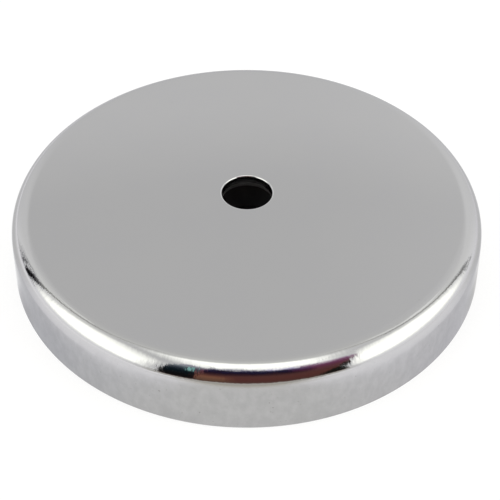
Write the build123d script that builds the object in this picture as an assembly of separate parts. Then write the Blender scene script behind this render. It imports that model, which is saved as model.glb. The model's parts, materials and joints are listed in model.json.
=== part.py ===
from build123d import *
import os
from math import cos, radians, sin, tan

# A pot magnet: a cup drawn from plated steel sheet, with a hole punched in its back for a bolt,
# and a ferrite ring bonded inside it. The open rim is the holding face. The cup is modelled with
# its back up. The axis is Z, and the origin is the centre of the rim's plane.
# Lengths are in millimetres and angles in degrees.

# Steel cup
rim_diameter = 81.3  # outside, at the open edge
cup_height = 11.1
sheet_thickness = 2.25
wall_draft = 4.2  # the wall flares outwards from the back to the rim
corner_radius = 3.7  # outside of the bend between back and wall
rim_chamfer = 0.15  # both edges of the ground rim

# Punched hole in the back
hole_diameter = 8.6
rollover_radius = 0.25  # where the punch went in, outside
breakout_depth = 0.45  # where the slug tore out, inside
breakout_flare = 0.12  # how much wider the hole is there, in radius

# Ferrite ring
bend_clearance = 0.4  # from the ring's side to where the cup's floor starts to bend
head_seat_width = 3.7  # ring of bare steel round the hole, for a bolt head
magnet_recess = 0.15  # the ring's face lies this far inside the rim
magnet_chamfer = 0.5

# Adhesive between the ring and the cup
bond_thickness = 0.25
bond_setback = 1.0  # the film ends this far short of the ring's bore
bead_depth = 0.9  # how far the squeezed-out bead runs down the ring's side from the cup's floor

# Sizes that follow from these
draft = radians(wall_draft)
rim_radius = rim_diameter / 2
hole_radius = hole_diameter / 2
floor_height = cup_height - sheet_thickness
inner_corner_radius = corner_radius - sheet_thickness
bend_height = cup_height - corner_radius
bend_radius = rim_radius - (corner_radius + bend_height * sin(draft)) / cos(draft)
magnet_radius = bend_radius - bend_clearance
magnet_bore_radius = hole_radius + head_seat_width
magnet_top = floor_height - bond_thickness


def outer_wall_radius(height):
    """Radius of the cup's straight outer wall, as if it ran on through the bend."""
    return rim_radius - height * tan(draft)


def inner_wall_radius(height):
    """The same for the inner wall, one sheet thickness further in."""
    return outer_wall_radius(height) - sheet_thickness / cos(draft)


def rounded(section, corner, radius):
    """The section with its corner at this radius and height rounded."""
    vertex = section.vertices().sort_by_distance((*corner, 0))[0]
    return fillet(vertex, radius)


def chamfered(section, corner, length):
    """The section with its corner at this radius and height cut off."""
    vertex = section.vertices().sort_by_distance((*corner, 0))[0]
    return chamfer(vertex, length)


def cup_section():
    """The drawn sheet's section, from the hole across the back and down to the rim."""
    back_corner = (outer_wall_radius(cup_height), cup_height)
    floor_corner = (inner_wall_radius(floor_height), floor_height)
    outer_rim = (rim_radius, 0)
    inner_rim = (inner_wall_radius(0), 0)
    hole_edge = (hole_radius, cup_height)
    outline = Polyline(
        hole_edge,
        back_corner,
        outer_rim,
        inner_rim,
        floor_corner,
        (hole_radius + breakout_flare, floor_height),
        (hole_radius, floor_height + breakout_depth),
        close=True,
    )
    section = make_face(outline)
    section = rounded(section, back_corner, corner_radius)
    section = rounded(section, floor_corner, inner_corner_radius)
    section = rounded(section, hole_edge, rollover_radius)
    section = chamfered(section, outer_rim, rim_chamfer)
    return chamfered(section, inner_rim, rim_chamfer)


def magnet_section():
    """The ring's section, a rectangle with its four edges chamfered."""
    corners = [
        (magnet_bore_radius, magnet_recess),
        (magnet_radius, magnet_recess),
        (magnet_radius, magnet_top),
        (magnet_bore_radius, magnet_top),
    ]
    section = make_face(Polyline(*corners, close=True))
    for corner in corners:
        section = chamfered(section, corner, magnet_chamfer)
    return section


def bond_section():
    """The film over the ring and the bead round its outer edge, as what the ring leaves of an outline."""
    film_start = magnet_bore_radius + bond_setback
    bead_end = floor_height - bead_depth
    outline = Polyline(
        (film_start, floor_height),
        (bend_radius, floor_height),
        (magnet_radius, bead_end),
        (film_start, bead_end),
        close=True,
    )
    return make_face(outline) - magnet_section()


def turned(section, label):
    """The solid of revolution of a section about the part's axis."""
    solid = revolve(Plane.XZ * section, axis=Axis.Z)
    solid.label = label
    return solid


os.makedirs("parts", exist_ok=True)
pieces = [
    turned(cup_section(), "steel_cup"),
    turned(magnet_section(), "ring_magnet"),
    turned(bond_section(), "adhesive_bond"),
]
for piece in pieces:
    export_step(piece, f"parts/{piece.label}.step")
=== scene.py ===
"""Looks of a pot magnet: a bright-plated drawn steel cup with a ferrite ring bonded inside it.

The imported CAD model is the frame. Each of its three nodes is replaced by a denser mesh of the same
size, with detail that the CAD leaves out: the rounded rim, the torn metal in the hole, the ring's
chipped edges and the uneven glue. Lengths are in metres, in the CAD's frame, and those written in
millimetres are multiplied by MM. Colours are linear. In the studio, 1 is the brightness of plain
cloth, and what a lamp lights is brighter.
"""

import json
import math

import bpy
from mathutils import Matrix, Vector, noise


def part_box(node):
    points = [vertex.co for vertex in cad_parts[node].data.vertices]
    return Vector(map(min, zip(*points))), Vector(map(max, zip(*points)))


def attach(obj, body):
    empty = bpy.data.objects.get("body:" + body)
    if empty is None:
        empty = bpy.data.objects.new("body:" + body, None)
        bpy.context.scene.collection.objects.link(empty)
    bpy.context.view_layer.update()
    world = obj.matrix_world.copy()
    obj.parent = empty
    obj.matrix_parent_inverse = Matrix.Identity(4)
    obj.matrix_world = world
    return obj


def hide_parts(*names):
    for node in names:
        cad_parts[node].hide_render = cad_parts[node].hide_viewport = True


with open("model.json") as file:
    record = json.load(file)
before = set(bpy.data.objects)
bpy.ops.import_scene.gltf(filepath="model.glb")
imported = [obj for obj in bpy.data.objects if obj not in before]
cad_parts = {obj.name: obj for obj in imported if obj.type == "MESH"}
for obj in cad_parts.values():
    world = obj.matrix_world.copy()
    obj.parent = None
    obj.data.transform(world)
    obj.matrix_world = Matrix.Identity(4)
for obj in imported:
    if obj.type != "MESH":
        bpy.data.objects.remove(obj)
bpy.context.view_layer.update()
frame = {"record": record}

MM = 0.001

# ---------------------------------------------------------------------------------------------
# Sizes
# ---------------------------------------------------------------------------------------------

mounts = {mount["name"]: mount for mount in frame["record"]["mounts"]}

# Steel cup
CUP_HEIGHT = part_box("steel_cup")[1].z
DRAFT = math.radians(4.2)  # the wall flares outwards from the back to the rim
RIM_EDGE = 0.15 * MM  # rounding of the ground rim
RIM_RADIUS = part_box("steel_cup")[1].x + RIM_EDGE * math.tan(DRAFT)  # of the wall, run on to height 0
CORNER_RADIUS = 3.7 * MM  # outside of the bend between back and wall
EASE = math.radians(2.4)  # the bend's last degrees, which run out gently into the wall
EASE_RADIUS = 48 * MM

# Punched hole in the cup's back
HOLE_RADIUS = mounts["bolt_hole"]["dims"]["r_mm"] * MM
ROLLOVER = 0.25 * MM  # rounded edge where the punch went in
BURNISHED_DEPTH = 1.3 * MM  # smooth sheared land of the hole, from the cup's back
BREAKOUT_FLARE = 0.12 * MM  # how much wider the hole is where the slug tore out, in radius
TEAR_DEPTH = 0.05 * MM  # roughness of the torn metal below the land
TEAR_START = 0.3 * MM  # height over which the roughness grows to that
LUMP_SIZE = 0.45 * MM
SHRED_SIZE = 0.14 * MM
SHRED_SQUASH = 0.6  # of heights, so that shreds are longer down the hole than round it

# Ferrite ring
RING_LOW, RING_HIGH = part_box("ring_magnet")
BORE_RADIUS = mounts["bolt_head_recess"]["dims"]["r_mm"] * MM
RING_CHAMFER = 0.5 * MM
WORN_REACH = 2.2 * RING_CHAMFER  # wear and chips end this far from an edge
WEAR_SIZE = 1.1 * MM
WEAR_DEPTH = 0.22  # in chamfers, as is the depth of a chip
CHIP_SIZE = 3.2 * MM
CHIP_DEPTH = 0.8
CHIP_RARITY = 0.38  # the noise above which a chip starts
CHIP_STEEPNESS = 4

# Glue between the ring and the cup
BOND_LOW, BOND_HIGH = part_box("adhesive_bond")
FILM_SETBACK = 1.0 * MM  # the film ends this far short of the ring's bore
FILM_START = BORE_RADIUS + FILM_SETBACK
BEAD_FACE = (  # free face of the bead: out from the ring's side, up from the bead's end
    (0.10 * MM, 0.02 * MM),
    (0.22 * MM, 0.20 * MM),
    (0.31 * MM, 0.48 * MM),
)
BEAD_SWELL = 0.05 * MM  # how far the bead's face wanders outwards, and how far down
BEAD_SAG = 0.12 * MM
BEAD_WAVE = 4.0 * MM  # size of the waves in it, and of the ripples over them
BEAD_RIPPLE = 1.3 * MM

# Sizes that follow from these
FLOOR_HEIGHT = BOND_HIGH.z  # inside of the cup's back, which the bond touches
SHEET = CUP_HEIGHT - FLOOR_HEIGHT
LAND_END = CUP_HEIGHT - BURNISHED_DEPTH
BEND_HEIGHT = CUP_HEIGHT - CORNER_RADIUS
BEND_RADIUS = RIM_RADIUS - (CORNER_RADIUS + BEND_HEIGHT * math.sin(DRAFT)) / math.cos(DRAFT)

# Steps round the axis, and along the arcs and the torn part of a section
CUP_SEGMENTS = 768
RING_SEGMENTS = 512
BOND_SEGMENTS = 384
RIM_STEPS = 8
EASE_STEPS = 8
BEND_STEPS = 36
INNER_BEND_STEPS = 16
ROLLOVER_STEPS = 10
TEAR_STEPS = 12

# Shares of a straight at which it has points. Those near its ends keep its shading straight.
NEAR_END = 0.01
STRAIGHT = (NEAR_END, 0.5, 1 - NEAR_END)
ACROSS_BACK = (NEAR_END, 0.3, 0.7, 1 - NEAR_END)
DOWN_LAND = (0.1, 0.5)
ROUND_RING = (0.02, 0.25, 0.5, 0.75, 0.98)


# ---------------------------------------------------------------------------------------------
# Turned meshes
# ---------------------------------------------------------------------------------------------


def arc(centre, radius, start, end, steps):
    """Points (radius, height) along an arc of a section, from one angle in degrees to another."""
    points = []
    for step in range(steps + 1):
        angle = math.radians(start + (end - start) * step / steps)
        points.append((centre[0] + radius * math.cos(angle), centre[1] + radius * math.sin(angle)))
    return points


def run(start, end, shares):
    """Points part of the way from start to end, without the two ends."""
    return [tuple(a + (b - a) * share for a, b in zip(start, end)) for share in shares]


def link(name, data):
    """A new object in the scene that holds this mesh or camera."""
    linked = bpy.data.objects.new(name, data)
    bpy.context.scene.collection.objects.link(linked)
    return linked


def turn(name, section, segments, shift):
    """A closed mesh turned from a section, a loop of (radius, height) that keeps its solid on the left.

    shift(angle, radius, height) returns the new radius and height of a point of the section."""
    vertices = []
    for segment in range(segments):
        angle = 2 * math.pi * segment / segments
        for point in section:
            radius, height = shift(angle, *point)
            vertices.append((radius * math.cos(angle), radius * math.sin(angle), height))
    size = len(section)
    faces = []
    for segment in range(segments):
        here = segment * size
        there = (segment + 1) % segments * size
        for index in range(size):
            after = (index + 1) % size
            faces.append((here + index, there + index, there + after, here + after))
    mesh = bpy.data.meshes.new(name)
    mesh.from_pydata(vertices, [], faces)
    mesh.polygons.foreach_set("use_smooth", [True] * len(faces))
    return link(name, mesh)


def ripple(angle, radius, height, size, seed):
    """Smooth noise between about -1 and 1 at a point of a turned part, with bumps of this size."""
    point = Vector((radius * math.cos(angle), radius * math.sin(angle), height)) / size
    return noise.noise(point + Vector((seed, seed, seed)))


def cup_section():
    """The cup's section, counter-clockwise from the bottom of the rim."""
    draft = math.degrees(DRAFT)
    slope = math.cos(DRAFT)
    outer_rim = RIM_RADIUS - RIM_EDGE * (1 + math.sin(DRAFT)) / slope
    inner_line = RIM_RADIUS - SHEET / slope
    inner_rim = inner_line + RIM_EDGE * (1 - math.sin(DRAFT)) / slope

    # The outside of the bend runs out gently, with a far larger radius for its last few degrees.
    pulled_in = (EASE_RADIUS - CORNER_RADIUS) * (1 - math.cos(EASE)) / slope
    bend_outside = (BEND_RADIUS - pulled_in, BEND_HEIGHT)
    ease_start = draft + math.degrees(EASE)
    ease_centre = (
        bend_outside[0] + (CORNER_RADIUS - EASE_RADIUS) * math.cos(DRAFT + EASE),
        bend_outside[1] + (CORNER_RADIUS - EASE_RADIUS) * math.sin(DRAFT + EASE),
    )

    rim_out = arc((outer_rim, RIM_EDGE), RIM_EDGE, -90, draft, RIM_STEPS)
    ease_out = arc(ease_centre, EASE_RADIUS, draft, ease_start, EASE_STEPS)
    bend_out = arc(bend_outside, CORNER_RADIUS, ease_start, 90, BEND_STEPS)
    hole_centre = (HOLE_RADIUS + ROLLOVER, CUP_HEIGHT - ROLLOVER)
    hole_top = arc(hole_centre, ROLLOVER, 90, 180, ROLLOVER_STEPS)
    land_end = (HOLE_RADIUS, LAND_END)
    tear_end = (HOLE_RADIUS + BREAKOUT_FLARE, FLOOR_HEIGHT)
    bend_inside = (BEND_RADIUS, BEND_HEIGHT)
    bend_in = arc(bend_inside, CORNER_RADIUS - SHEET, 90, draft, INNER_BEND_STEPS)
    rim_in = arc((inner_rim, RIM_EDGE), RIM_EDGE, 180 + draft, 270, RIM_STEPS)
    return [
        *rim_out,
        *run(rim_out[-1], ease_out[0], STRAIGHT),
        *ease_out,
        *bend_out[1:],
        *run(bend_out[-1], hole_top[0], ACROSS_BACK),
        *hole_top,
        *run(hole_top[-1], land_end, DOWN_LAND),
        land_end,
        *run(land_end, tear_end, [step / TEAR_STEPS for step in range(1, TEAR_STEPS)]),
        tear_end,
        *run(tear_end, bend_in[0], STRAIGHT),
        *bend_in,
        *run(bend_in[-1], rim_in[0], STRAIGHT),
        *rim_in,
    ]


def tear(angle, radius, height):
    """Roughens the torn lower part of the hole's wall and leaves the rest of the cup as it is."""
    if radius > HOLE_RADIUS + 2 * BREAKOUT_FLARE or height >= LAND_END:
        return radius, height
    depth = min((LAND_END - height) / TEAR_START, 1)
    lumps = ripple(angle, radius, height, LUMP_SIZE, seed=11)
    shreds = ripple(angle, radius, height * SHRED_SQUASH, SHRED_SIZE, seed=23)
    rough = 0.5 + 0.6 * lumps + 0.5 * shreds
    return radius + TEAR_DEPTH * depth * rough, height


def make_cup():
    """The drawn cup, with its hole torn where the slug came out."""
    return turn("plated_cup", cup_section(), CUP_SEGMENTS, tear)


def chip(angle, radius, height):
    """Wears the ring's edges unevenly, and breaks a chip out here and there."""
    low, high, outer = RING_LOW.z, RING_HIGH.z, RING_HIGH.x
    side = 1 if radius > (outer + BORE_RADIUS) / 2 else -1
    edge = outer if side > 0 else BORE_RADIUS
    face = low if height < (low + high) / 2 else high
    to_side = abs(edge - radius)
    to_face = min(height - low, high - height)
    closeness = 1 - min(math.hypot(to_side, to_face) / WORN_REACH, 1)
    wear = 0.5 + 0.5 * ripple(angle, radius, height, WEAR_SIZE, seed=5)
    broken = max(ripple(angle, edge, face, CHIP_SIZE, seed=41) - CHIP_RARITY, 0) * CHIP_STEEPNESS
    loss = closeness * RING_CHAMFER * (WEAR_DEPTH * wear + min(broken, CHIP_DEPTH))
    lift = loss if face == low else -loss
    return radius - side * loss, height + (lift if to_face < 2 * RING_CHAMFER else 0)


def make_ring():
    """The ferrite ring, with small chips along its edges."""
    low, high = RING_LOW.z, RING_HIGH.z
    outer, inner = RING_HIGH.x, BORE_RADIUS
    corners = [
        (inner + RING_CHAMFER, low),
        (outer - RING_CHAMFER, low),
        (outer, low + RING_CHAMFER),
        (outer, high - RING_CHAMFER),
        (outer - RING_CHAMFER, high),
        (inner + RING_CHAMFER, high),
        (inner, high - RING_CHAMFER),
        (inner, low + RING_CHAMFER),
    ]
    section = []
    for start, end in zip(corners, corners[1:] + corners[:1]):
        section.append(start)
        section.extend(run(start, end, ROUND_RING))
    return turn("ferrite_ring", section, RING_SEGMENTS, chip)


def make_bond():
    """The cured film over the ring, and the bead squeezed out round it."""
    ring_radius = RING_HIGH.x
    face = RING_HIGH.z
    top = BOND_HIGH.z
    bead_end = BOND_LOW.z
    on_ring = [
        (FILM_START, face),
        (ring_radius - RING_CHAMFER, face),
        (ring_radius, face - RING_CHAMFER),
        (ring_radius, bead_end),
    ]
    bead = [(ring_radius + out, bead_end + up) for out, up in BEAD_FACE]
    bead_side = (BOND_HIGH.x, top)
    film_end = (FILM_START, top)
    on_cup = [bead_side, *run(bead_side, film_end, STRAIGHT), film_end]

    def lump(angle, radius, height):
        """Thickens and thins the bead's free face."""
        if (radius, height) not in bead:
            return radius, height
        wave = ripple(angle, radius, 0, BEAD_WAVE, seed=3)
        amount = wave + 0.5 * ripple(angle, radius, 0, BEAD_RIPPLE, seed=8)
        return radius + BEAD_SWELL * amount, height - BEAD_SAG * amount

    return turn("glue_bead", on_ring + bead + on_cup, BOND_SEGMENTS, lump)


# ---------------------------------------------------------------------------------------------
# Materials
# ---------------------------------------------------------------------------------------------

# Plating: its colours
PLATE_COOL = (0.400, 0.400, 0.404, 1)
PLATE_WARM = (0.412, 0.411, 0.408, 1)
PLATE_AT_GRAZING = (0.72, 0.72, 0.74, 1)
PLATE_DULL = (0.21, 0.21, 0.215, 1)
SPECK_COLOUR = (0.12, 0.11, 0.10, 1)
PIT_COLOUR = (0.14, 0.13, 0.12, 1)
# painted highlight: brighter plating on top of the hole's rolled edge, standing in for its glint
LIP_HIGHLIGHT_COLOUR = (0.50, 0.50, 0.50, 1)
TORN_COLOUR = (0.16, 0.145, 0.135, 1)
DULL_SHARE = 0.22  # how much of the colour it covers, as for the next three
SPECK_SHARE = 0.45
PIT_SHARE = 0.35
TORN_SHARE = 0.45
LIP_HIGHLIGHT_BLUR = 0.04 * MM
LIP_HIGHLIGHT_TOP = 0.3  # share of the rollover, from the back, over which the painted highlight is at its brightest

# Plating: its bumps, patches and roughness
WAVE_SIZE, WAVE_DEPTH = 1.1 * MM, 0.009 * MM
PEEL_SIZE, PEEL_DEPTH = 0.38 * MM, 0.007 * MM
STREAK_SIZE, STREAK_DEPTH = 0.30 * MM, 0.003 * MM
GRAIN_SIZE, GRAIN_DEPTH = 0.5 * MM, 0.0004 * MM
TORN_SIZE, TORN_DEPTH = 0.12 * MM, 0.05 * MM
STREAKED = (1, 1, 0.1)  # squashes heights, so that streaks are long down the wall
CALM_WALL = 0.35  # how much of the bend's waves the wall has
DRIFT_SIZE = 9.0 * MM
DULL_SIZE, DULL_RANGE = 1.3 * MM, (0.25, 0.75)  # a range is of the noise that a patch sets in over
DULL_STRETCH = (1, 1, 0.6)
SPECK_SIZE, SPECK_RANGE = 0.45 * MM, (0.74, 0.80)
PIT_SIZE, PIT_RANGE = 0.7 * MM, (0.81, 0.85)
HAZE_SIZE, HAZE_RANGE = 4.0 * MM, (0.3, 0.7)
SMOOTHEST, HAZIEST = 0.05, 0.075
TORN_ROUGHNESS = 0.3  # added in the hole
INSIDE_ROUGHNESS = 0.12  # added inside the cup, where the plating is thin

# Ferrite
FERRITE_DARK = (0.026, 0.025, 0.026, 1)
FERRITE_PALE = (0.046, 0.044, 0.043, 1)
FERRITE_PATCH_SIZE = 2.5 * MM
FERRITE_GRAIN_SIZE, FERRITE_GRAIN_DEPTH = 0.25 * MM, 0.018 * MM
GRINDING_COLOUR = (0.10, 0.10, 0.105, 1)
GRINDING_SHARE = 0.35
GRINDING_SIZE, GRINDING_DEPTH = 0.16 * MM, 0.006 * MM
GRINDING_STRETCH = (1.0, 0.04, 1.0)  # the face was ground along y
PRESSED_ROUGHNESS = 0.72
GROUND_ROUGHNESS = 0.42

# Epoxy
EPOXY_DARK = (0.10, 0.045, 0.012, 1)
EPOXY_PALE = (0.24, 0.13, 0.045, 1)
EPOXY_PATCH_SIZE = 2.0 * MM
EPOXY_WAVE_SIZE, EPOXY_WAVE_DEPTH = 1.2 * MM, 0.05 * MM
BUBBLE_SPACING, BUBBLE_DEPTH = 0.7 * MM, 0.02 * MM
BUBBLE_EDGE = (0.12, 0.2)  # in spacings from a bubble's middle
EPOXY_GLOSS_SIZE, EPOXY_GLOSS_RANGE = 0.8 * MM, (0.3, 0.7)
GLOSSIEST, DULLEST = 0.16, 0.30
EPOXY_IOR = 1.55


class Graph:
    """Adds nodes to one node tree, so that a material reads as a list of steps."""

    def __init__(self, tree):
        self.tree = tree
        self.tree.nodes.clear()

    def node(self, kind, inputs=None, **settings):
        """A new node. inputs maps a socket's name or number to a value or to another node's socket."""
        made = self.tree.nodes.new(kind)
        for name, value in settings.items():
            setattr(made, name, value)
        for name, value in (inputs or {}).items():
            self.feed(made.inputs[name], value)
        return made

    def feed(self, socket, value):
        """Links the socket to another node's socket, or sets its value."""
        if isinstance(value, bpy.types.NodeSocket):
            self.tree.links.new(value, socket)
        else:
            socket.default_value = value

    def math(self, operation, *values):
        return self.node("ShaderNodeMath", dict(enumerate(values)), operation=operation).outputs[0]

    def multiply(self, a, b):
        return self.math("MULTIPLY", a, b)

    def vector(self, operation, *values):
        made = self.node("ShaderNodeVectorMath", dict(enumerate(values)), operation=operation)
        return made.outputs[0]

    def length(self, vector):
        made = self.node("ShaderNodeVectorMath", {0: vector}, operation="LENGTH")
        return made.outputs["Value"]

    def dot(self, a, b):
        made = self.node("ShaderNodeVectorMath", {0: a, 1: b}, operation="DOT_PRODUCT")
        return made.outputs["Value"]

    def split(self, vector):
        """The x, y and z of a vector."""
        return self.node("ShaderNodeSeparateXYZ", {0: vector}).outputs

    def join(self, parts):
        """A vector with these parts, given by axis number, and 0 for the rest."""
        return self.node("ShaderNodeCombineXYZ", parts).outputs[0]

    def ramp(self, value, low, high, to_low=0.0, to_high=1.0, smooth=True):
        """Maps low..high to to_low..to_high, held at both ends."""
        limits = {"From Min": low, "From Max": high, "To Min": to_low, "To Max": to_high}
        kind = "SMOOTHSTEP" if smooth else "LINEAR"
        made = self.node("ShaderNodeMapRange", {"Value": value, **limits}, interpolation_type=kind)
        return made.outputs["Result"]

    def blend(self, share, a, b):
        """Colour a at share 0, colour b at share 1."""
        made = self.node("ShaderNodeMix", data_type="RGBA")
        self.feed(made.inputs["Factor"], share)
        self.feed(made.inputs[6], a)
        self.feed(made.inputs[7], b)
        return made.outputs[2]

    def noise(self, where, size, detail=2.0, roughness=0.5):
        """Noise between 0 and 1 with features of this size in metres."""
        inputs = {"Vector": where, "Scale": 1 / size, "Detail": detail, "Roughness": roughness}
        return self.node("ShaderNodeTexNoise", inputs).outputs["Fac"]

    def bump(self, height, depth, normal=None):
        """The normal of a surface raised by up to this depth, over an earlier bump if there is one."""
        inputs = {"Height": height, "Distance": depth}
        if normal:
            inputs["Normal"] = normal
        return self.node("ShaderNodeBump", inputs).outputs["Normal"]

    def glow(self, colour, strength):
        made = self.node("ShaderNodeEmission", {"Color": colour, "Strength": strength})
        return made.outputs[0]

    def mix(self, share, a, b):
        """Shader a at share 0, shader b at share 1."""
        return self.node("ShaderNodeMixShader", {0: share, 1: a, 2: b}).outputs[0]

    def show(self, surface, output="ShaderNodeOutputMaterial"):
        """Makes this shader the tree's surface."""
        self.feed(self.node(output).inputs["Surface"], surface)


def empty_material(name):
    """A material with no nodes yet, and the graph to fill it with."""
    material = bpy.data.materials.new(name)
    material.use_nodes = True
    return material, Graph(material.node_tree)


def new_material(name):
    """A material of one shader, its graph and the shader."""
    material, graph = empty_material(name)
    shader = graph.node("ShaderNodeBsdfPrincipled")
    graph.show(shader.outputs["BSDF"])
    return material, graph, shader


def object_place(graph):
    """The place on the object, the same without its height, the distance from the axis, the height."""
    place = graph.node("ShaderNodeTexCoord").outputs["Object"]
    split = graph.split(place)
    flat = graph.join({0: split[0], 1: split[1]})
    return place, flat, graph.length(flat), split[2]


def plated_surface(graph):
    """Places and masks of the cup's surface by name. A mask is 1 in its zone and 0 elsewhere."""
    place, flat, distance, height = object_place(graph)
    bend = graph.ramp(distance, BEND_RADIUS - 0.3 * MM, BEND_RADIUS + 1.2 * MM)
    below_bend = graph.ramp(height, BEND_HEIGHT + 1.8 * MM, BEND_HEIGHT)
    in_hole = graph.ramp(distance, HOLE_RADIUS + 0.5 * MM, HOLE_RADIUS + 0.3 * MM)
    below_land = graph.ramp(height, LAND_END + 0.2 * MM, LAND_END - 0.4 * MM)
    below_floor = graph.ramp(height, FLOOR_HEIGHT + 0.2 * MM, FLOOR_HEIGHT)
    within_wall = graph.ramp(distance, BEND_RADIUS + 2.2 * MM, BEND_RADIUS + 2.0 * MM)

    # The place on the sheet as it was drawn: round the cup and down it.
    around = graph.vector("SCALE", graph.vector("NORMALIZE", flat))
    around.node.inputs["Scale"].default_value = BEND_RADIUS
    drawn = graph.vector("ADD", around, graph.join({2: height}))
    return {
        "place": place,
        "distance": distance,
        "height": height,
        "drawn": drawn,
        "bend": bend,
        "wall": graph.multiply(below_bend, bend),
        "torn": graph.multiply(in_hole, below_land),
        "inside": graph.multiply(below_floor, within_wall),
    }


def plating_bumps(graph, surface):
    """The sheet is wavy where it was drawn over the bend, and streaked down the wall."""
    place, drawn, bend, wall = (surface[name] for name in ("place", "drawn", "bend", "wall"))
    calmer_wall = graph.ramp(wall, 0, 1, 1.0, CALM_WALL)
    waves = graph.multiply(graph.noise(drawn, WAVE_SIZE, detail=1.0, roughness=0.45), bend)
    waves = graph.multiply(waves, calmer_wall)
    peel = graph.multiply(graph.noise(drawn, PEEL_SIZE), bend)
    peel = graph.multiply(peel, calmer_wall)
    streaked = graph.vector("MULTIPLY", drawn, STREAKED)
    streaks = graph.multiply(graph.noise(streaked, STREAK_SIZE, roughness=0.6), wall)
    torn_grain = graph.multiply(graph.noise(place, TORN_SIZE, detail=3.0), surface["torn"])
    normal = graph.bump(waves, WAVE_DEPTH)
    normal = graph.bump(peel, PEEL_DEPTH, normal)
    normal = graph.bump(streaks, STREAK_DEPTH, normal)
    normal = graph.bump(graph.noise(place, GRAIN_SIZE), GRAIN_DEPTH, normal)
    return graph.bump(torn_grain, TORN_DEPTH, normal)


def plating_colour(graph, surface):
    """A faint drift of tone, dull blotches and specks on the wall, pits, and a painted highlight on the
    hole's edge.
    """
    place, drawn, wall = (surface[name] for name in ("place", "drawn", "wall"))
    colour = graph.blend(graph.noise(place, DRIFT_SIZE), PLATE_COOL, PLATE_WARM)
    dull = graph.vector("MULTIPLY", drawn, DULL_STRETCH)
    dull = graph.noise(dull, DULL_SIZE, detail=4.0, roughness=0.6)
    dull = graph.multiply(graph.ramp(dull, *DULL_RANGE, to_low=1, to_high=0), wall)
    colour = graph.blend(graph.multiply(dull, DULL_SHARE), colour, PLATE_DULL)
    specks = graph.ramp(graph.noise(drawn, SPECK_SIZE, detail=1.0), *SPECK_RANGE)
    specks = graph.multiply(specks, wall)
    colour = graph.blend(graph.multiply(specks, SPECK_SHARE), colour, SPECK_COLOUR)
    pits = graph.ramp(graph.noise(place, PIT_SIZE, detail=1.0), *PIT_RANGE)
    colour = graph.blend(graph.multiply(pits, PIT_SHARE), colour, PIT_COLOUR)
    # Painted highlight along the top of the hole's rolled edge.
    edge = HOLE_RADIUS + ROLLOVER
    highlight_at_edge = graph.ramp(surface["distance"], edge + LIP_HIGHLIGHT_BLUR, edge - LIP_HIGHLIGHT_BLUR)
    highlight_top = CUP_HEIGHT - LIP_HIGHLIGHT_TOP * ROLLOVER
    highlight_on_top = graph.ramp(surface["height"], CUP_HEIGHT - ROLLOVER, highlight_top)
    colour = graph.blend(graph.multiply(highlight_at_edge, highlight_on_top), colour, LIP_HIGHLIGHT_COLOUR)
    return graph.blend(graph.multiply(surface["torn"], TORN_SHARE), colour, TORN_COLOUR)


def plating_roughness(graph, surface):
    """A little haze, and more in the torn hole and inside the cup."""
    haze = graph.noise(surface["place"], HAZE_SIZE, detail=3.0)
    roughness = graph.ramp(haze, *HAZE_RANGE, SMOOTHEST, HAZIEST)
    torn = graph.multiply(surface["torn"], TORN_ROUGHNESS)
    inside = graph.multiply(surface["inside"], INSIDE_ROUGHNESS)
    return graph.math("ADD", graph.math("ADD", roughness, torn), inside)


def plating():
    """Bright plating over drawn steel: mirror-like, rippled where it was bent, with a few pits."""
    material, graph, shader = new_material("bright_plating")
    shader.inputs["Metallic"].default_value = 1.0
    shader.inputs["Specular Tint"].default_value = PLATE_AT_GRAZING
    surface = plated_surface(graph)
    graph.feed(shader.inputs["Normal"], plating_bumps(graph, surface))
    graph.feed(shader.inputs["Base Color"], plating_colour(graph, surface))
    graph.feed(shader.inputs["Roughness"], plating_roughness(graph, surface))
    return material


def ferrite():
    """Sintered ferrite: near black, with a ground face and pressed sides."""
    material, graph, shader = new_material("ferrite")
    place, _, _, height = object_place(graph)
    face = graph.ramp(height, RING_LOW.z + 0.04 * MM, RING_LOW.z)
    ground = graph.node("ShaderNodeMapping", {"Vector": place, "Scale": GRINDING_STRETCH})
    lines = graph.multiply(graph.noise(ground.outputs[0], GRINDING_SIZE, detail=3.0), face)
    grain = graph.noise(place, FERRITE_GRAIN_SIZE, detail=4.0, roughness=0.6)
    normal = graph.bump(grain, FERRITE_GRAIN_DEPTH, graph.bump(lines, GRINDING_DEPTH))
    graph.feed(shader.inputs["Normal"], normal)

    patches = graph.noise(place, FERRITE_PATCH_SIZE, detail=4.0, roughness=0.6)
    colour = graph.blend(patches, FERRITE_DARK, FERRITE_PALE)
    colour = graph.blend(graph.multiply(lines, GRINDING_SHARE), colour, GRINDING_COLOUR)
    graph.feed(shader.inputs["Base Color"], colour)
    roughness = graph.ramp(face, 0, 1, PRESSED_ROUGHNESS, GROUND_ROUGHNESS)
    graph.feed(shader.inputs["Roughness"], roughness)
    return material


def epoxy():
    """Cured epoxy: brown, glossy and uneven, with trapped bubbles."""
    material, graph, shader = new_material("epoxy")
    place = object_place(graph)[0]
    cells = graph.node("ShaderNodeTexVoronoi", {"Vector": place, "Scale": 1 / BUBBLE_SPACING})
    bubbles = graph.ramp(cells.outputs["Distance"], *BUBBLE_EDGE)
    waves = graph.noise(place, EPOXY_WAVE_SIZE)
    normal = graph.bump(bubbles, BUBBLE_DEPTH, graph.bump(waves, EPOXY_WAVE_DEPTH))
    graph.feed(shader.inputs["Normal"], normal)
    patches = graph.noise(place, EPOXY_PATCH_SIZE, detail=3.0)
    graph.feed(shader.inputs["Base Color"], graph.blend(patches, EPOXY_DARK, EPOXY_PALE))
    gloss = graph.noise(place, EPOXY_GLOSS_SIZE)
    roughness = graph.ramp(gloss, *EPOXY_GLOSS_RANGE, GLOSSIEST, DULLEST)
    graph.feed(shader.inputs["Roughness"], roughness)
    shader.inputs["IOR"].default_value = EPOXY_IOR
    return material


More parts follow.
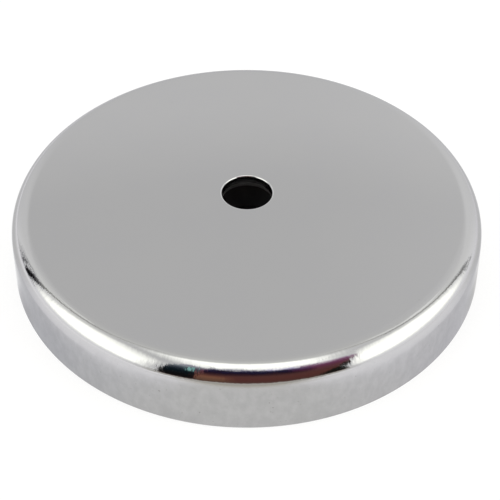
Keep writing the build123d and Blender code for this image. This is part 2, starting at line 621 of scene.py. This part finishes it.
# ---------------------------------------------------------------------------------------------
# Studio: a light tent of pale cloth on a pale table, with its front open to a dark room
# ---------------------------------------------------------------------------------------------

X, Y, Z = range(3)  # numbers of the axes
LEFT, RIGHT = -1, 1  # sides of the tent

TENT_SIDE = 0.40  # distance of the side cloths from the object
TENT_FRONT = -0.50
CEILING = 0.70
LAYER = 0.001  # between cards that lie over each other in the open front
SPILL_GAP = 0.02  # between a cloth and the light spilt behind it
LAMP = (2.70, 2.71, 2.55)  # cloth with a lamp behind it; plain cloth is 1
BLACK = (0.008, 0.008, 0.009)
WHITE = (1, 1, 1, 1)
CLOTH_LIGHT = 0.85  # the cloth's strength where it lights the object and isn't mirrored in it

# Table. To the camera it glows evenly over a matt part, which the object's shadow darkens. What
# the object mirrors of it is painted zone by zone: painted shade along the rim, and painted light
# further out and towards the lamps.
TABLE_SIZE = 2.0  # from its middle to a side
TABLE_GREY = (0.80, 0.80, 0.80, 1)  # of the glow, and of the table as it lights the object
TABLE_MATT = (0.20, 0.20, 0.20, 1)
TABLE_BEHIND = (0.90, 0.90, 0.895, 1)
TABLE_FRONT_LEFT = (0.87, 0.88, 0.915, 1)
TABLE_FRONT_RIGHT = (0.98, 0.975, 1.005, 1)
TABLE_PAST_SHADE = (1.10, 1.095, 1.13, 1)
TABLE_FARTHER_OUT = (1.25, 1.24, 1.28, 1)
TABLE_AT_LEFT_LAMP = (1.34, 1.33, 1.36, 1)
TABLE_AT_RIGHT_LAMP = (1.17, 1.16, 1.19, 1)
SHADE_LEFT = (0.66, 0.66, 0.68, 1)
SHADE_RIGHT = (0.64, 0.64, 0.63, 1)
IN_FRONT = (0.0, -0.03)  # the range of y in which the front zones set in
BESIDE = (0.010, 0.034)  # the same in x for the zones to the left and right
AT_LAMP = (0.05, 0.13)

# Cards
FOLD_SIZE = 0.022
FOLD_STRETCH = (1, 0.1, 0.1)  # folds run down the cloth, or back over the ceiling
SPOT_RANGE = (0.40, 0.56)  # of the noise that breaks a card up into spots
HAIR = 1e-6  # keeps the range of colours from being empty on a card of one colour
SEAM = (
    (0.0, (0.50, 0.50, 0.48)),
    (0.35, (0.60, 0.60, 0.55)),
    (0.50, (0.48, 0.48, 0.44)),
    (0.60, (0.32, 0.32, 0.29)),
    (0.75, (0.34, 0.34, 0.30)),
)


def seen_directly(graph):
    """1 for camera, glossy and transmission rays, 0 for the diffuse rays that light the object."""
    path = graph.node("ShaderNodeLightPath").outputs
    seen = graph.math("ADD", path["Is Camera Ray"], path["Is Glossy Ray"])
    seen = graph.math("ADD", seen, path["Is Transmission Ray"])
    return graph.math("MINIMUM", seen, 1.0)


def make_world():
    """Pale cloth all round, brighter near the table and to the sides, where it is nearer the lamps."""
    world = bpy.data.worlds.new("tent")
    bpy.context.scene.world = world
    world.use_nodes = True
    graph = Graph(world.node_tree)
    towards = graph.split(graph.node("ShaderNodeTexCoord").outputs["Generated"])  # from -1 to 1
    by_height = graph.ramp(towards[Z], 0.655, 0.57, to_low=0.985, to_high=1.12)
    to_left = graph.ramp(towards[X], -0.28, -0.55, to_low=0.0, to_high=0.09)
    to_right = graph.ramp(towards[X], 0.0, 0.50, to_low=0.0, to_high=0.17)
    bright = graph.math("ADD", by_height, graph.math("ADD", to_left, to_right))
    dim = graph.node("ShaderNodeBackground", {"Color": WHITE, "Strength": CLOTH_LIGHT})
    white = graph.node("ShaderNodeBackground", {"Color": WHITE, "Strength": bright})
    surface = graph.mix(seen_directly(graph), dim.outputs[0], white.outputs[0])
    graph.show(surface, "ShaderNodeOutputWorld")


def table_zones(graph, place, distance):
    """Masks of the table's top by name, each 1 in its zone and 0 elsewhere."""
    split = graph.split(place)
    x, y = split[X], split[Y]
    front = graph.ramp(y, *IN_FRONT)
    left = graph.multiply(graph.ramp(x, -BESIDE[0], -BESIDE[1]), front)
    right = graph.multiply(graph.ramp(x, *BESIDE), front)
    beside = graph.math("ADD", left, right)
    past_shade = graph.ramp(distance, RIM_RADIUS + 1.5 * MM, RIM_RADIUS + 9.0 * MM)
    farther_out = graph.ramp(distance, RIM_RADIUS + 5.2 * MM, RIM_RADIUS + 8.0 * MM)
    touching = graph.ramp(distance, RIM_RADIUS + 2.0 * MM, RIM_RADIUS + 0.2 * MM)
    shade_right = graph.multiply(graph.ramp(y, -0.021, -0.013), graph.ramp(x, 0.020, 0.030))
    shade_left = graph.multiply(graph.ramp(y, -0.023, -0.017), graph.ramp(y, -0.010, -0.014))
    shade_left = graph.multiply(shade_left, graph.ramp(x, -0.020, -0.030))
    return {
        "left": left,
        "right": right,
        "past_shade": graph.multiply(past_shade, beside),
        "farther_out": graph.multiply(farther_out, beside),
        "at_left_lamp": graph.ramp(x, -AT_LAMP[0], -AT_LAMP[1]),
        "at_right_lamp": graph.ramp(x, *AT_LAMP),
        "shade_right": graph.multiply(shade_right, touching),
        "shade_left": graph.multiply(shade_left, touching),
    }


def table_colour(graph, place, distance):
    """The table as the object mirrors it: painted light towards the lamps, and painted shade along the
    rim.
    """
    zones = table_zones(graph, place, distance)
    colour = graph.blend(zones["left"], TABLE_BEHIND, TABLE_FRONT_LEFT)
    colour = graph.blend(zones["right"], colour, TABLE_FRONT_RIGHT)
    colour = graph.blend(zones["past_shade"], colour, TABLE_PAST_SHADE)
    colour = graph.blend(zones["farther_out"], colour, TABLE_FARTHER_OUT)
    colour = graph.blend(zones["at_left_lamp"], colour, TABLE_AT_LEFT_LAMP)
    colour = graph.blend(zones["at_right_lamp"], colour, TABLE_AT_RIGHT_LAMP)
    colour = graph.blend(zones["shade_right"], colour, SHADE_RIGHT)
    return graph.blend(zones["shade_left"], colour, SHADE_LEFT)


def make_table():
    """A pale table top that shows white, with a faint shadow where the object stands."""
    size = TABLE_SIZE
    mesh = bpy.data.meshes.new("table")
    corners = [(-size, -size, 0), (size, -size, 0), (size, size, 0), (-size, size, 0)]
    mesh.from_pydata(corners, [], [(0, 1, 2, 3)])
    table = link("table", mesh)
    material, graph = empty_material("table")
    place, _, distance, _ = object_place(graph)
    in_the_open = graph.ramp(distance, RIM_RADIUS - 2 * MM, RIM_RADIUS)  # no glow under the object
    camera_ray = graph.node("ShaderNodeLightPath").outputs["Is Camera Ray"]
    colour = graph.blend(camera_ray, table_colour(graph, place, distance), TABLE_GREY)
    plain = graph.node("ShaderNodeBsdfDiffuse", {"Color": TABLE_GREY}).outputs[0]
    lit = graph.node("ShaderNodeBsdfDiffuse", {"Color": TABLE_MATT}).outputs[0]
    glow = graph.glow(colour, in_the_open)
    shown = graph.node("ShaderNodeAddShader", {0: lit, 1: glow}).outputs[0]
    graph.show(graph.mix(seen_directly(graph), plain, shown))
    mesh.materials.append(material)


def folded(graph, place, along, depth, start, end):
    """The place, moved along an axis by folds that grow from nothing to this depth."""
    stretched = graph.vector("MULTIPLY", place, FOLD_STRETCH)
    fold = graph.noise(stretched, FOLD_SIZE, detail=3.0, roughness=0.65)
    reach = graph.ramp(graph.split(place)[along], start, end, 0, depth)
    fold = graph.multiply(graph.math("SUBTRACT", fold, 0.5), reach)
    return graph.vector("ADD", place, graph.join({along: fold}))


def card_mask(graph, place, corners, soft):
    """1 well inside a card, fading to 0 at its sides."""
    facing = (corners[1] - corners[0]).cross(corners[2] - corners[1]).normalized()
    mask = 1.0
    for start, end, fade in zip(corners, corners[1:] + corners[:1], soft):
        inward = facing.cross(end - start).normalized()
        edge = inward.dot(start)
        mask = graph.multiply(mask, graph.ramp(graph.dot(place, inward), edge, edge + fade))
    return mask


def card_colour(graph, place, stops, along):
    """The colour at a place on a card, between stops of a position along an axis and a colour."""
    low, high = stops[0][0], stops[-1][0]
    share = graph.ramp(graph.split(place)[along], low, high + HAIR, smooth=False)
    ramp = graph.node("ShaderNodeValToRGB", {"Fac": share})
    elements = ramp.color_ramp.elements
    elements.remove(elements[1])
    for number, (position, colour) in enumerate(stops):
        stop_share = (position - low) / (high - low) if high > low else 0.0
        stop = elements[0] if number == 0 else elements.new(stop_share)
        stop.position = stop_share
        stop.color = (*colour, 1)
    return ramp.outputs["Color"]


def card(name, corners, soft, stops, along=Z, folds=None, grain=None):
    """A flat sheet that only the object sees, with sides that fade into what is behind it.

    The corners go round a convex outline. soft gives each side's fade in metres, starting with the
    side from the first corner to the second. stops gives colours at positions along one axis.
    folds holds a depth, a start and an end: the fades and the colours wander along that axis like
    cloth in folds, by nothing at the start and up to the depth at the end. grain breaks the card
    up into spots of that size."""
    corners = [Vector(corner) for corner in corners]
    mesh = bpy.data.meshes.new(name)
    mesh.from_pydata(corners, [], [tuple(range(len(corners)))])
    sheet = link(name, mesh)
    sheet.visible_camera = False
    sheet.visible_shadow = False

    material, graph = empty_material(name)
    place = graph.node("ShaderNodeTexCoord").outputs["Object"]
    if folds:
        place = folded(graph, place, along, *folds)
    mask = card_mask(graph, place, corners, soft)
    if grain:
        spots = graph.ramp(graph.noise(place, grain), *SPOT_RANGE)
        mask = graph.multiply(mask, spots)
    glow = graph.glow(card_colour(graph, place, stops, along), 1.0)
    clear = graph.node("ShaderNodeBsdfTransparent").outputs[0]
    graph.show(graph.mix(mask, clear, glow))
    mesh.materials.append(material)


def side_card(name, side, inset, outline, soft, stops, grain=None):
    """A card this far inside a side cloth. outline holds (y, z) pairs."""
    x = side * (TENT_SIDE - inset)
    card(name, [(x, y, z) for y, z in outline], soft, stops, grain=grain)


def front_card(name, layer, outline, soft, stops, along=Z, folds=None):
    """A card across the open front. outline holds (x, z) pairs; higher layers hide lower ones."""
    y = TENT_FRONT + LAYER * layer
    card(name, [(x, y, z) for x, z in outline], soft, stops, along=along, folds=folds)


def level_card(name, height, outline, soft, stops, along=Z, folds=None):
    """A level card. outline holds (x, y) pairs."""
    card(name, [(x, y, height) for x, y in outline], soft, stops, along=along, folds=folds)


def make_side_lamps():
    """A lamp behind each side cloth, and the light it spills round itself."""
    spill = [
        (-0.02, (1.56, 1.55, 1.60)),
        (0.08, (1.50, 1.50, 1.51)),
        (0.30, (1.34, 1.34, 1.32)),
        (0.90, (1.24, 1.24, 1.20)),
    ]
    side_card(
        "left_spill",
        LEFT,
        inset=-SPILL_GAP,
        outline=[(-0.58, -0.02), (0.42, -0.02), (0.42, 0.95), (-0.58, 0.95)],
        soft=(0.001, 0.36, 0.45, 0.32),
        stops=spill,
    )
    side_card(
        "right_spill",
        RIGHT,
        inset=-SPILL_GAP,
        outline=[(-0.58, -0.02), (0.45, -0.02), (0.45, 0.95), (-0.08, 0.95), (-0.58, 0.055)],
        soft=(0.001, 0.36, 0.45, 0.06, 0.30),
        stops=spill,
    )
    side_card(
        "left_lamp",
        LEFT,
        inset=0,
        outline=[(-0.53, 0.07), (0.085, 0.02), (0.085, 0.30), (-0.06, 0.82), (-0.53, 0.78)],
        soft=(0.09, 0.11, 0.11, 0.47, 0.17),
        stops=[(0, LAMP)],
    )
    side_card(
        "right_lamp",
        RIGHT,
        inset=0,
        outline=[
            (-0.48, 0.05),
            (0.13, 0.02),
            (0.135, 0.28),
            (-0.05, 0.82),
            (-0.14, 0.82),
            (-0.48, 0.19),
        ],
        soft=(0.09, 0.11, 0.11, 0.45, 0.06, 0.14),
        stops=[(0, LAMP)],
    )


def make_ceiling_lamp():
    """The lamp over the ceiling, and the light it spills towards the back."""
    level_card(
        "ceiling_lamp",
        height=CEILING,
        outline=[(-0.33, -0.437), (0.50, -0.437), (0.28, 0.085), (-0.37, 0.085)],
        soft=(0.27, 0.20, 0.11, 0.27),
        stops=[(0, LAMP)],
        along=Y,
        folds=(0.60, 0.0, -0.25),
    )
    level_card(
        "ceiling_spill",
        height=CEILING + SPILL_GAP,
        outline=[(-0.50, 0.04), (0.50, 0.04), (0.50, 0.60), (-0.50, 0.60)],
        soft=(0.05, 0.20, 0.50, 0.20),
        stops=[
            (0.04, (1.24, 1.24, 1.20)),
            (0.25, (1.04, 1.04, 1.02)),
            (0.60, (1.0, 1.0, 1.0)),
        ],
        along=Y,
    )


def make_left_seam():
    """The seam where the backdrop hangs in front of the left cloth, with a dark gap at its foot."""
    side_card(
        "left_gap",
        LEFT,
        inset=0.002,
        outline=[(0.084, 0.01), (0.122, 0.01), (0.112, 0.32), (0.068, 0.32), (0.066, 0.12)],
        soft=(0.03, 0.010, 0.16, 0.010, 0.010),
        stops=[
            (0.0, BLACK),
            (0.13, BLACK),
            (0.17, (0.10, 0.10, 0.11)),
            (0.21, (0.25, 0.25, 0.25)),
            (0.30, (0.52, 0.52, 0.50)),
        ],
    )
    side_card(
        "left_gap_fold",
        LEFT,
        inset=0.002,
        outline=[(0.130, 0.03), (0.150, 0.03), (0.156, 0.15), (0.138, 0.15)],
        soft=(0.02, 0.008, 0.04, 0.008),
        stops=[(0, (0.08, 0.08, 0.09))],
    )
    side_card(
        "left_gap_edge",
        LEFT,
        inset=0.001,
        outline=[(0.025, 0.0), (0.240, 0.0), (0.200, 0.32), (0.035, 0.32)],
        soft=(0.04, 0.09, 0.16, 0.07),
        stops=[(0, (0.28, 0.28, 0.29))],
        grain=0.016,
    )
    side_card(
        "left_seam",
        LEFT,
        inset=0.0005,
        outline=[(0.076, 0.1), (0.108, 0.1), (0.124, 0.75), (0.080, 0.75)],
        soft=(0.1, 0.012, 0.05, 0.012),
        stops=SEAM,
    )


def make_right_seam():
    """The same on the right, where the gap is fainter."""
    side_card(
        "right_gap",
        RIGHT,
        inset=0.002,
        outline=[(0.102, 0.038), (0.168, 0.038), (0.176, 0.40), (0.104, 0.40)],
        soft=(0.02, 0.024, 0.20, 0.022),
        stops=[(0, (0.30, 0.30, 0.31))],
        grain=0.013,
    )
    side_card(
        "right_seam",
        RIGHT,
        inset=0.001,
        outline=[(0.110, 0.1), (0.150, 0.1), (0.122, 0.75), (0.076, 0.75)],
        soft=(0.1, 0.014, 0.05, 0.014),
        stops=SEAM,
    )


def make_ceiling_seam():
    """The seam's two halves along the ceiling."""
    for name, start, end in (("left", -0.44, -0.14), ("right", 0.14, 0.44)):
        level_card(
            "ceiling_seam_" + name,
            height=CEILING - 0.002,
            outline=[(start, 0.091), (end, 0.091), (end, 0.119), (start, 0.119)],
            soft=(0.012, 0.1, 0.012, 0.1),
            stops=[(0, (0.42, 0.42, 0.38))],
        )


def make_hems():
    """Bright hems of the cloths behind the seams."""
    side_card(
        "left_hem",
        LEFT,
        inset=0.0004,
        outline=[(0.125, 0.42), (0.20, 0.42), (0.24, 0.75), (0.14, 0.75)],
        soft=(0.1, 0.02, 0.1, 0.02),
        stops=[(0, (1.36, 1.36, 1.33))],
    )
    side_card(
        "right_hem",
        RIGHT,
        inset=0.0011,
        outline=[(0.14, 0.42), (0.24, 0.42), (0.27, 0.75), (0.13, 0.75)],
        soft=(0.1, 0.02, 0.1, 0.02),
        stops=[(0, (1.55, 1.55, 1.52))],
    )
    level_card(
        "ceiling_hem",
        height=CEILING - 0.002,
        outline=[(0.22, 0.13), (0.42, 0.13), (0.42, 0.24), (0.22, 0.24)],
        soft=(0.02, 0.04, 0.06, 0.08),
        stops=[(0, (1.42, 1.42, 1.38))],
    )


def make_room():
    """The table's end at the open front, and the room beyond: brown, with dark blue and violet above."""
    front_card(
        "table_end",
        layer=-1,
        outline=[(-0.66, 0.0), (0.70, 0.0), (0.70, 0.16), (-0.66, 0.16)],
        soft=(0.001, 0.16, 0.10, 0.16),
        stops=[
            (-0.62, (1.30, 1.28, 1.27)),
            (-0.44, (1.06, 1.05, 1.03)),
            (-0.33, (0.84, 0.82, 0.77)),
            (-0.15, (0.78, 0.75, 0.69)),
            (0.25, (0.78, 0.75, 0.69)),
            (0.38, (0.86, 0.84, 0.79)),
            (0.47, (1.06, 1.05, 1.03)),
            (0.68, (1.30, 1.28, 1.27)),
        ],
        along=X,
    )
    front_card(
        "room",
        layer=0,
        outline=[(-0.360, 0.050), (0.422, 0.050), (0.425, 1.6), (-0.445, 1.6)],
        soft=(0.028, 0.012, 0.35, 0.025),
        stops=[
            (0.05, (0.24, 0.14, 0.12)),
            (0.10, (0.172, 0.078, 0.066)),
            (0.15, (0.172, 0.062, 0.052)),
            (0.24, (0.195, 0.066, 0.057)),
            (0.35, (0.180, 0.068, 0.060)),
            (0.45, (0.085, 0.033, 0.040)),
            (0.55, (0.030, 0.014, 0.036)),
            (0.65, (0.024, 0.015, 0.052)),
            (0.75, (0.034, 0.028, 0.080)),
            (0.85, (0.065, 0.058, 0.13)),
            (1.05, (0.17, 0.16, 0.29)),
            (1.25, (0.36, 0.34, 0.52)),
        ],
        folds=(1.70, 0.42, 0.85),
    )


def make_room_left():
    """The room's left side: a dark wall with a window, a door and a lit shelf."""
    front_card(
        "wall_left",
        layer=1,
        outline=[(-0.364, 0.050), (-0.178, 0.050), (-0.225, 1.2), (-0.440, 1.2)],
        soft=(0.06, 0.012, 0.3, 0.03),
        stops=[
            (0.05, BLACK),
            (0.20, BLACK),
            (0.36, (0.006, 0.015, 0.022)),
            (0.48, (0.02, 0.032, 0.045)),
            (0.62, (0.08, 0.10, 0.13)),
            (0.80, (0.26, 0.31, 0.35)),
            (1.0, (0.57, 0.61, 0.67)),
        ],
    )
    front_card(
        "window",
        layer=2,
        outline=[(-0.251, 0.40), (-0.209, 0.40), (-0.272, 0.95), (-0.316, 0.95)],
        soft=(0.16, 0.018, 0.2, 0.018),
        stops=[(0, (0.52, 1.06, 0.98))],
    )
    front_card(
        "door",
        layer=3,
        outline=[(-0.196, 0.28), (-0.166, 0.28), (-0.213, 1.1), (-0.262, 1.1)],
        soft=(0.10, 0.018, 0.2, 0.012),
        stops=[
            (0.30, (0.30, 0.15, 0.12)),
            (0.45, (0.36, 0.13, 0.13)),
            (0.60, (0.29, 0.09, 0.12)),
            (0.75, (0.32, 0.14, 0.23)),
            (0.95, (0.55, 0.42, 0.52)),
        ],
    )
    front_card(
        "shelf",
        layer=2,
        outline=[(-0.182, 0.075), (-0.02, 0.075), (-0.05, 0.42), (-0.190, 0.42)],
        soft=(0.03, 0.07, 0.12, 0.006),
        stops=[
            (0.08, (0.20, 0.11, 0.075)),
            (0.25, (0.38, 0.17, 0.105)),
            (0.34, (0.26, 0.10, 0.07)),
            (0.42, (0.14, 0.06, 0.05)),
        ],
    )


def make_room_right():
    """The room's right side: plum and lavender walls, and a black cupboard."""
    front_card(
        "lavender_wall",
        layer=3,
        outline=[(0.06, 0.72), (0.28, 0.72), (0.38, 1.5), (0.10, 1.5)],
        soft=(0.35, 0.05, 0.2, 0.05),
        stops=[(0, (0.90, 0.82, 1.22))],
        folds=(0.25, 0.50, 0.80),
    )
    front_card(
        "plum_wall",
        layer=2,
        outline=[(0.175, 0.42), (0.33, 0.42), (0.36, 1.0), (0.20, 1.0)],
        soft=(0.10, 0.06, 0.25, 0.05),
        stops=[
            (0.45, (0.13, 0.040, 0.060)),
            (0.60, (0.115, 0.030, 0.085)),
            (0.75, (0.19, 0.10, 0.24)),
            (0.95, (0.40, 0.32, 0.52)),
        ],
    )
    front_card(
        "wall_right",
        layer=1,
        outline=[
            (0.21, 0.30),
            (0.42, 0.30),
            (0.572, 0.60),
            (0.750, 0.95),
            (0.87, 1.6),
            (0.30, 1.6),
        ],
        soft=(0.12, 0.02, 0.02, 0.02, 0.4, 0.09),
        stops=[
            (0.30, (0.20, 0.085, 0.085)),
            (0.45, (0.21, 0.070, 0.085)),
            (0.65, (0.25, 0.074, 0.14)),
            (0.76, (0.30, 0.10, 0.205)),
            (0.90, (0.38, 0.15, 0.29)),
            (1.05, (0.50, 0.28, 0.44)),
            (1.25, (0.80, 0.60, 0.80)),
        ],
        folds=(0.9, 0.60, 0.95),
    )
    front_card(
        "cupboard",
        layer=4,
        outline=[(0.246, 0.055), (0.424, 0.055), (0.426, 0.25), (0.415, 0.38), (0.292, 0.23)],
        soft=(0.05, 0.012, 0.012, 0.07, 0.03),
        stops=[(0, (0.012, 0.014, 0.010))],
    )
    front_card(
        "cupboard_edge",
        layer=4,
        outline=[(0.380, 0.18), (0.424, 0.18), (0.545, 0.55), (0.51, 0.58), (0.39, 0.38)],
        soft=(0.02, 0.012, 0.06, 0.04, 0.03),
        stops=[
            (0.20, (0.012, 0.012, 0.010)),
            (0.36, (0.022, 0.014, 0.012)),
            (0.44, (0.06, 0.026, 0.026)),
            (0.54, (0.15, 0.065, 0.065)),
        ],
    )


def make_painted_table_shade():
    """Painted shade on the table's front part, tinted by the room's brown and darker towards the open
    front.
    """
    level_card(
        "painted_table_shade",
        height=0.0005,
        outline=[(-0.24, TENT_FRONT), (0.24, TENT_FRONT), (0.05, -0.045), (-0.05, -0.045)],
        soft=(0.001, 0.07, 0.05, 0.07),
        stops=[
            (TENT_FRONT, (0.76, 0.73, 0.66)),
            (-0.30, (0.76, 0.73, 0.65)),
            (-0.14, (0.86, 0.81, 0.71)),
            (-0.06, (0.98, 0.96, 0.89)),
        ],
        along=Y,
    )


def make_studio():
    """Everything that lights the object or is mirrored in it."""
    make_world()
    make_table()
    make_side_lamps()
    make_ceiling_lamp()
    make_left_seam()
    make_right_seam()
    make_ceiling_seam()
    make_hems()
    make_room()
    make_room_left()
    make_room_right()
    make_painted_table_shade()


# ---------------------------------------------------------------------------------------------
# Camera
# ---------------------------------------------------------------------------------------------

CAMERA_PLACE = Vector((0, -122.1, 115.3)) * MM
CAMERA_AIM = Vector((0.56, -2.76, 0)) * MM
CAMERA_ROLL = math.radians(0.37)
CAMERA_LENS = 67.56  # in millimetres, as is the sensor's width
SENSOR_WIDTH = 36
CLIP_START = 0.01


def make_camera():
    """The camera, turned towards its aim and then rolled a little."""
    data = bpy.data.cameras.new("camera")
    data.lens = CAMERA_LENS
    data.sensor_width = SENSOR_WIDTH
    data.clip_start = CLIP_START
    camera = link("camera", data)
    turned = (CAMERA_AIM - CAMERA_PLACE).to_track_quat("-Z", "Y").to_matrix().to_4x4()
    rolled = Matrix.Rotation(CAMERA_ROLL, 4, "Z")
    camera.matrix_world = Matrix.Translation(CAMERA_PLACE) @ turned @ rolled
    bpy.context.scene.camera = camera


# ---------------------------------------------------------------------------------------------
# The part
# ---------------------------------------------------------------------------------------------


def install(piece, node, material):
    """Puts a finished mesh in place of its CAD node."""
    piece.data.materials.append(material)
    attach(piece, "root")
    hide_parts(node)


make_camera()
make_studio()
install(make_cup(), "steel_cup", plating())
install(make_ring(), "ring_magnet", ferrite())
install(make_bond(), "adhesive_bond", epoxy())

bpy.context.scene.view_settings.view_transform = "Standard"
